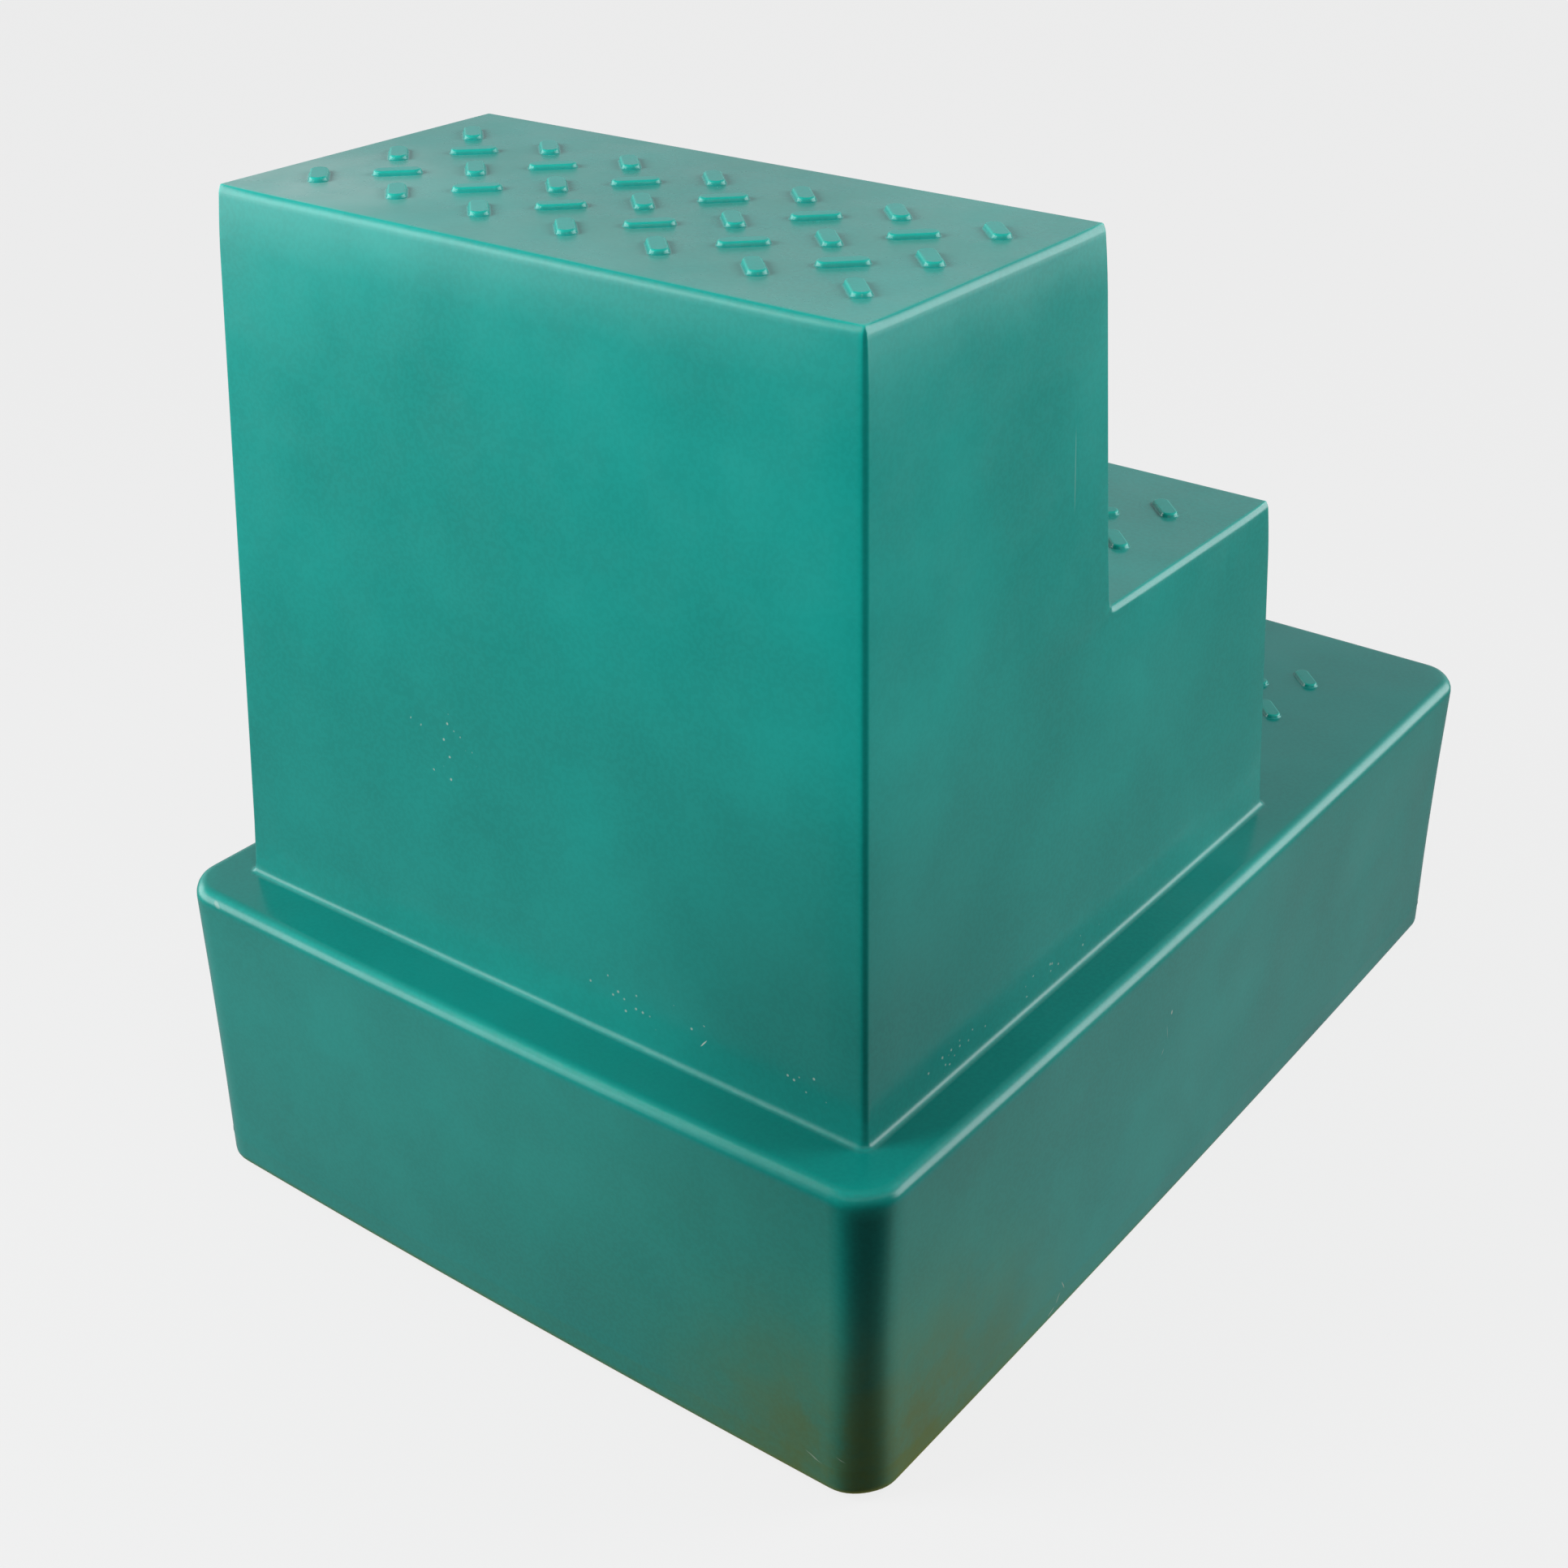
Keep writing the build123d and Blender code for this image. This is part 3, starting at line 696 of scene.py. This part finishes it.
# Rotomoulded polyethylene: coloured powder melts onto a hot mould and cools slowly, which leaves the
# colour a little cloudy and the skin satin, with a faint orange peel and long shallow waves
def mouldingMaterial():
    gloss = {"IOR": 1.51, "Specular IOR Level": 0.95}
    material, tree, shader, place = newMaterial("RotomouldedPolyethylene", gloss)
    height = addNode(tree, "ShaderNodeSeparateXYZ", {0: place}, "Z")
    normal = addNode(tree, "ShaderNodeNewGeometry", {}, "Normal")
    facing = addNode(tree, "ShaderNodeSeparateXYZ", {0: normal}, "Z")
    bend = addNode(tree, "ShaderNodeNewGeometry", {}, "Pointiness")
    raised = addNode(tree, "ShaderNodeMath", {0: height, 1: 1 * mm}, operation="ADD")
    overTread = addNode(tree, "ShaderNodeMath", {0: raised, 1: ledgeZ}, operation="MODULO")
    sides = height.node.outputs
    outward = addNode(tree, "ShaderNodeMath", {0: sides["Y"], 1: sides["X"]}, operation="SUBTRACT")
    noise = {}
    for name, (size, offset, detail, roughness) in mottling.items():
        shift = (offset, -offset, 2 * offset)
        moved = addNode(tree, "ShaderNodeMapping", {"Vector": place, "Location": shift})
        noise[name] = addNode(tree, "ShaderNodeTexNoise", {"Vector": moved, "Scale": 1 / (size * mm),
                                                           "Detail": detail, "Roughness": roughness})
    # Soft steps from one value to another: what is read, where the step starts and ends, and its two values
    cornerOut = sideX + rearY
    steps = {
        "cloudy": (noise["clouds"], 0.3, 0.7, 0, 1),
        "drifting": (noise["drift"], 0.3, 0.7, 0, 1),
        "grainy": (noise["grains"], 0.42, 0.58, 0, 1),
        "upward": (facing, 0.8, 0.98, 0, 1),
        "low": (overTread, 1.2 * mm, 2.8 * mm, 1, 0),  # below the tops of the pads
        "dusty": (noise["dustPatches"], 0.25, 0.75, 0.45, 1),
        "high": (height, ledgeZ + 20 * mm, topZ, 0, 1),
        # painted shade: upward faces at the lowest level get darker
        "shadedLowLevel": (height, ledgeZ + 8 * mm, ledgeZ + 20 * mm, 0.4, 0),
        # painted highlight: convex edges turn a brighter, purer teal
        "rubbedEdgeHighlight": (bend, 0.505, 0.56, 0, 0.75),
        # painted highlight: concave creases turn paler
        "creaseHighlight": (bend, 0.49, 0.44, 0, 0.4),
        # painted shade: the near rounded corner of the base, below the ledge's edge
        "corner": (outward, cornerOut - 27 * mm, cornerOut - 18 * mm, 0, 1),
        "underLedge": (height, ledgeZ - 4 * mm, ledgeZ - 18 * mm, 0, 1),
        "clotted": (noise["mudPatches"], 0.2, 0.7, 0.4, 0.8),
        "satin": (noise["satin"], 0.3, 0.7, 0.17, 0.25),
    }
    # Every patch, mark and field of grit is an ellipsoid that fades out from its inner edge to its skin
    spots = {name: (centre, (0, 0, 0), half, 0.1) for name, (centre, half) in patches.items()}
    for number, (centre, turn, half, strength) in enumerate(marks):
        spots["mark", number] = (centre, turn, half, 0.6)
    for number, (centre, half) in enumerate(gritFields):
        spots["grit", number] = (centre, (0, 0, 0), half, 0.1)
    for name, (centre, turn, half, edge) in spots.items():
        placed = addNode(tree, "ShaderNodeMapping", {"Vector": place, "Location": [c * mm for c in centre],
                                                     "Rotation": [math.radians(a) for a in turn],
                                                     "Scale": [h * mm for h in half]}, vector_type="TEXTURE")
        far = addNode(tree, "ShaderNodeVectorMath", {0: placed}, "Value", operation="LENGTH")
        steps[name] = (far, edge, 1, 1, 0)
    field = {}
    for name, (source, low, high, first, last) in steps.items():
        field[name] = addNode(tree, "ShaderNodeMapRange", {0: source, 1: low, 2: high, 3: first, 4: last},
                              interpolation_type="SMOOTHSTEP")
    # Grit is a scatter of specks 4 mm apart, of which the fields choose some
    grit = addNode(tree, "ShaderNodeTexVoronoi", {"Vector": place, "Scale": 1 / (4 * mm)}, "Distance")
    speck = addNode(tree, "ShaderNodeMapRange", {0: grit, 1: 0.12, 2: 0.24, 3: 1, 4: 0},
                    interpolation_type="SMOOTHSTEP")
    chance = addNode(tree, "ShaderNodeSeparateColor", {0: grit.node.outputs["Color"]})
    gritty = 0
    for number in range(len(gritFields)):
        gritty = addNode(tree, "ShaderNodeMath", {0: gritty, 1: field["grit", number]}, operation="MAXIMUM")
    gritty = addNode(tree, "ShaderNodeMath", {0: gritty, 1: 0.5}, operation="MULTIPLY")
    chosen = addNode(tree, "ShaderNodeMath", {0: chance, 1: gritty}, operation="LESS_THAN")
    speck = addNode(tree, "ShaderNodeMath", {0: speck, 1: chosen}, operation="MULTIPLY")
    worn = addNode(tree, "ShaderNodeMath", {0: speck, 1: 0.6}, operation="MULTIPLY")
    for number, (centre, turn, half, strength) in enumerate(marks):
        mark = addNode(tree, "ShaderNodeMath", {0: field["mark", number], 1: strength}, operation="MULTIPLY")
        worn = addNode(tree, "ShaderNodeMath", {0: worn, 1: mark}, operation="MAXIMUM")
    # Yard dust stays between the pads of the upper treads and wears off the pads' tops
    dust = field["upward"]
    for name in ("low", "dusty", "high"):
        dust = addNode(tree, "ShaderNodeMath", {0: dust, 1: field[name]}, operation="MULTIPLY")
    heaped = addNode(tree, "ShaderNodeMath", {0: dust, 1: field["heaped"]}, operation="MULTIPLY")
    # painted shade in the near corner of the base
    cornerShadeInputs = {0: field["corner"], 1: field["underLedge"]}
    corner = addNode(tree, "ShaderNodeMath", cornerShadeInputs, operation="MULTIPLY")
    # Layers over the pigment, among them painted shade and painted highlights: where it lies, its share there
    # and its colour
    layers = [
        (field["drifting"], 1, "#0B988E"),
        (field["cloudy"], 0.3, "#087A71"),
        (field["grainy"], 0.14, "#16A79C"),
        (dust, 0.22, "#9AA39A"),
        (heaped, 0.3, "#C9D2D0"),
        (field["upward"], field["shadedLowLevel"], "#04544D"),  # painted shade: the upward faces of the lowest level are darkened
        (field["rubbedEdgeHighlight"], 1, "#0FB3A2"),  # painted highlight along the convex edges, partly edges rubbed down to the pure pigment
        (field["creaseHighlight"], 1, "#93AFA8"),  # painted highlight: a pale line along the concave creases, drawn as dust
        (corner, 0.8, "#03332F"),  # painted shade: a dark band down this corner of the base
        # painted shade low on the upper block near its near upright edge
        (field["nearEdgeShade"], 0.34, "#04544D"),
        (field["muddy"], field["clotted"], "#5F6B2C"),
        (worn, 1, "#B9C9BC"),
    ]
    colour = linear("#0B887E")
    for cover, share, hexColour in layers:
        part = addNode(tree, "ShaderNodeMath", {0: cover, 1: share}, operation="MULTIPLY")
        paint = {0: part, 6: colour, 7: linear(hexColour)}
        colour = addNode(tree, "ShaderNodeMix", paint, 2, data_type="RGBA")
    tree.links.new(colour, shader.inputs["Base Color"])
    dull = addNode(tree, "ShaderNodeMath", {0: dust, 1: 0.1}, operation="MULTIPLY")
    rough = addNode(tree, "ShaderNodeMath", {0: field["satin"], 1: dull}, operation="ADD")
    tree.links.new(rough, shader.inputs["Roughness"])
    waves = addNode(tree, "ShaderNodeBump", {"Height": noise["waves"], "Distance": 0.9 * mm, "Strength": 1})
    peel = addNode(tree, "ShaderNodeBump", {"Height": noise["peel"], "Distance": 0.015 * mm, "Strength": 1,
                                            "Normal": waves})
    tree.links.new(peel, shader.inputs["Normal"])
    return material


# Small parts of one colour, with a faint blend of tone, an uneven gloss and a fine grain
def plainMaterial(name, hexColour, roughness, metallic, grain, depth, ior=1.5):
    material, tree, shader, place = newMaterial(name, {"Metallic": metallic, "IOR": ior})
    noise = []
    for size, offset, detail in ((grain * 6, 2.7, 3), (grain * 3, 8.2, 3), (grain, 4.4, 2)):
        shift = (offset, -offset, 2 * offset)
        moved = addNode(tree, "ShaderNodeMapping", {"Vector": place, "Location": shift})
        pattern = {"Vector": moved, "Scale": 1 / size, "Detail": detail, "Roughness": 0.5}
        noise.append(addNode(tree, "ShaderNodeTexNoise", pattern))
    base = linear(hexColour)
    darker = (*[c * 0.78 for c in base[:3]], 1)
    blend = addNode(tree, "ShaderNodeMapRange", {0: noise[0], 1: 0.3, 2: 0.7, 3: 0, 4: 1},
                    interpolation_type="SMOOTHSTEP")
    colour = addNode(tree, "ShaderNodeMix", {0: blend, 6: darker, 7: base}, 2, data_type="RGBA")
    tree.links.new(colour, shader.inputs["Base Color"])
    rough = addNode(tree, "ShaderNodeMapRange", {0: noise[1], 1: 0.3, 2: 0.7, 3: roughness * 0.85,
                                                 4: roughness * 1.15}, interpolation_type="SMOOTHSTEP")
    tree.links.new(rough, shader.inputs["Roughness"])
    bump = addNode(tree, "ShaderNodeBump", {"Height": noise[2], "Distance": depth, "Strength": 1})
    tree.links.new(bump, shader.inputs["Normal"])
    return material


moulding = mouldingMaterial()
print("materials made")

shell = blockSkin()
gridSkin(shell)
addPads(shell)
print("skin with pads", len(shell.faces), "faces")
addPocket(shell)
addUnderside(shell)
for v in shell.verts:
    v.co += settle(v.co)
inside = innerSkin()
insideMesh = bpy.data.meshes.new("inside")
inside.to_mesh(insideMesh)
inside.free()
shell.from_mesh(insideMesh)
bpy.data.meshes.remove(insideMesh)
rims = {v for e in shell.edges if e.is_boundary for v in e.verts}
bmesh.ops.remove_doubles(shell, verts=list(rims), dist=0.05 * mm)
bmesh.ops.recalc_face_normals(shell, faces=shell.faces[:])
print("shell", len(shell.faces), "faces, open edges", sum(not e.is_manifold for e in shell.edges),
      "litres of plastic", round(shell.calc_volume() * 1000, 2))
makePiece("block_shell", shell, "block", moulding, ["body_shell"])

finishes = {
    # injection-moulded polypropylene: dense black, with the mould's fine spark texture and a dull satin
    "filler_bush": plainMaterial("BlackPolypropylene", "#26272A", 0.42, 0, 0.9 * mm, 0.02 * mm, 1.49),
    # the same from a better polished mould, and handled more, so a little glossier
    "filler_bung": plainMaterial("BlackPolypropyleneCap", "#242528", 0.4, 0, 0.9 * mm, 0.02 * mm, 1.49),
    # rubber stamped from sheet: dull, dark grey-brown, with a fine uneven bloom
    "bung_seal": plainMaterial("SheetRubber", "#2A2A29", 0.7, 0, 0.6 * mm, 0.03 * mm, 1.52),
    # injection-moulded polyethylene: soft, waxy black
    "vent_plug": plainMaterial("BlackPolyethylene", "#232427", 0.45, 0, 0.8 * mm, 0.02 * mm, 1.51),
    # rubber cured in a blasted mould: almost matt
    "foot": plainMaterial("MouldedRubber", "#252524", 0.75, 0, 0.7 * mm, 0.03 * mm, 1.52),
    # cold-headed and tumbled stainless steel: soft grey shine, no direction
    "foot_screws": plainMaterial("StainlessSteel", "#C9C8C4", 0.3, 1, 0.5 * mm, 0.004 * mm),
    # stamped from rolled sheet: a touch duller than the screws
    "foot_washers": plainMaterial("StainlessWasher", "#C4C3BF", 0.35, 1, 0.5 * mm, 0.004 * mm),
    # turned from bar: warm yellow with fine tool marks, drawn as a grain
    "foot_inserts": plainMaterial("TurnedBrass", "#CDA75A", 0.32, 1, 0.5 * mm, 0.004 * mm),
}
bushBm, bungBm = bushForm(), bungForm()
print("bush open edges", sum(not e.is_manifold for e in bushBm.edges), "faces", len(bushBm.faces),
      "bung open edges", sum(not e.is_manifold for e in bungBm.edges), "faces", len(bungBm.faces))
sealBm = revolve(seal["outline"], fillerPlace(filler["floorX"]), 64, True)
ventBm = revolve(vent["outline"], Matrix.Translation((0, under["ventY"], 0)), 32, False)
makePiece("threaded_bush", bushBm, "block", finishes["filler_bush"], ["filler_bush"])
makePiece("threaded_bung", bungBm, "bung", finishes["filler_bung"], ["filler_bung"])
makePiece("flat_seal", sealBm, "seal", finishes["bung_seal"], ["bung_seal"])
makePiece("vent_plug_moulded", ventBm, "block", finishes["vent_plug"], ["vent_plug"])
for name in ("foot_front_left", "foot_front_right", "foot_rear_left", "foot_rear_right"):
    finishes[name] = finishes["foot"]
for name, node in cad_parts.items():
    if name in finishes and not node.hide_render:
        node.data.materials.clear()
        node.data.materials.append(finishes[name])
print("pieces made")

# Stage: a pale floor under plain soft light
floorMesh = bpy.data.meshes.new("floor")
floorForm = bmesh.new()
below = Matrix.Translation((0, 0, -0.2 * mm))  # clear of the feet, which stand at zero
bmesh.ops.create_grid(floorForm, x_segments=1, y_segments=1, size=15, matrix=below)
floorForm.to_mesh(floorMesh)
floorForm.free()
floor = bpy.data.objects.new("floor", floorMesh)
bpy.context.scene.collection.objects.link(floor)
# Matt studio paper that glows enough to hide the block's shadow in the even background
paper = {"Roughness": 0.9, "Base Color": linear("#3C3C3C"), "Specular IOR Level": 0,
         "Emission Color": linear("#FFFFFF"), "Emission Strength": 0.82}
floorMesh.materials.append(newMaterial("PalePaper", paper)[0])
floor.visible_glossy = False
floor.visible_diffuse = False

# Studio: bright behind the block, dim behind the camera, with a grey and then olive ground below
world = bpy.data.worlds.new("studio")
bpy.context.scene.world = world
world.use_nodes = True
sky = world.node_tree
direction = addNode(sky, "ShaderNodeTexCoord", {}, "Generated")
skyHeight = addNode(sky, "ShaderNodeSeparateXYZ", {0: direction}, "Z")
toCamera = (-0.57, 0.82, 0)
towards = addNode(sky, "ShaderNodeVectorMath", {0: direction, 1: toCamera}, "Value", operation="DOT_PRODUCT")
seen = addNode(sky, "ShaderNodeLightPath", {}, "Is Camera Ray")
# Where each area of the studio fades in: what is read, where the fade starts and ends, and its two values
fades = {
    "nearGround": (skyHeight, -0.2, -0.58, 0, 1),
    "oliveGround": (skyHeight, -0.62, -0.76, 0, 1),
    "zenith": (skyHeight, 0.25, 0.9, 0, 1),
    "boxLeft": (towards, -0.75, -0.5, 0, 1),
    "boxRight": (towards, 0.5, 0.3, 0, 1),
    "boxFoot": (skyHeight, -0.28, 0, 0, 1),
    "boxTop": (skyHeight, 0.55, 0.3, 0, 1),
    "aboveGround": (skyHeight, -0.4, 0.03, 0, 1),
    "dim": (towards, 0.1, 0.6, 1, 0.1),
    "overhead": (skyHeight, 0.2, 0.55, 0, 1),
}
fade = {}
for name, (source, low, high, first, last) in fades.items():
    fade[name] = addNode(sky, "ShaderNodeMapRange", {0: source, 1: low, 2: high, 3: first, 4: last},
                         interpolation_type="SMOOTHSTEP")
# Long soft boxes to the left and the right, low enough for upright edges to catch them
softBox = fade["boxLeft"]
for name in ("boxRight", "boxFoot", "boxTop"):
    softBox = addNode(sky, "ShaderNodeMath", {0: softBox, 1: fade[name]}, operation="MULTIPLY")
ground = (0.05, 0.054, 0.05, 1)
for name, colour in (("nearGround", (0.27, 0.28, 0.285, 1)), ("oliveGround", (0.27, 0.25, 0.06, 1))):
    ground = addNode(sky, "ShaderNodeMix", {0: fade[name], 6: ground, 7: colour}, 2, data_type="RGBA")
air = (0.44, 0.46, 0.49, 1)
for share, colour in ((fade["zenith"], (0.12, 0.123, 0.126, 1)), (softBox, (2.3, 2.35, 2.4, 1))):
    air = addNode(sky, "ShaderNodeMix", {0: share, 6: air, 7: colour}, 2, data_type="RGBA")
studio = addNode(sky, "ShaderNodeMix", {0: fade["aboveGround"], 6: ground, 7: air}, 2, data_type="RGBA")
studio = addNode(sky, "ShaderNodeMix", {0: seen, 6: studio, 7: linear("#EBEBEB")}, 2, data_type="RGBA")
strength = fade["dim"]
for source in (fade["overhead"], seen):
    strength = addNode(sky, "ShaderNodeMath", {0: strength, 1: source}, operation="MAXIMUM")
sky.links.new(studio, sky.nodes["Background"].inputs["Color"])
sky.links.new(strength, sky.nodes["Background"].inputs["Strength"])


def addLamp(name, place, target, strength, size):
    lamp = bpy.data.lights.new(name, "AREA")
    lamp.energy = strength
    lamp.shape = "DISK"
    lamp.size = size
    holder = bpy.data.objects.new(name, lamp)
    bpy.context.scene.collection.objects.link(holder)
    holder.location = place
    holder.rotation_euler = (Vector(target) - Vector(place)).to_track_quat("-Z", "Y").to_euler()
    holder.visible_glossy = False  # the gloss comes from the studio's large bright and dark areas
    holder.visible_camera = False


addLamp("key", (0.55, 1.05, 1.1), (0, 0.3, 0.4), 15.1, 0.6)
addLamp("fill", (-0.78, -0.35, 1.05), (-0.2, 0, 0.4), 6.8, 0.5)
addLamp("corner", (-0.56, 0.66, 1.0), (-0.19, 0.3, 0.58), 1.4, 0.15)

camera = bpy.data.cameras.new("camera")
cameraHolder = bpy.data.objects.new("camera", camera)
bpy.context.scene.collection.objects.link(cameraHolder)
bpy.context.scene.camera = cameraHolder
camera.lens = 51.12
camera.sensor_width = 36
camera.clip_end = 60
cameraHolder.location = (-0.704554, 1.021922, 0.878702)
cameraHolder.rotation_euler = [math.radians(angle) for angle in (60.8775, 0.3340, -143.0074)]
bpy.context.scene.view_settings.view_transform = "Standard"
print("stage set")
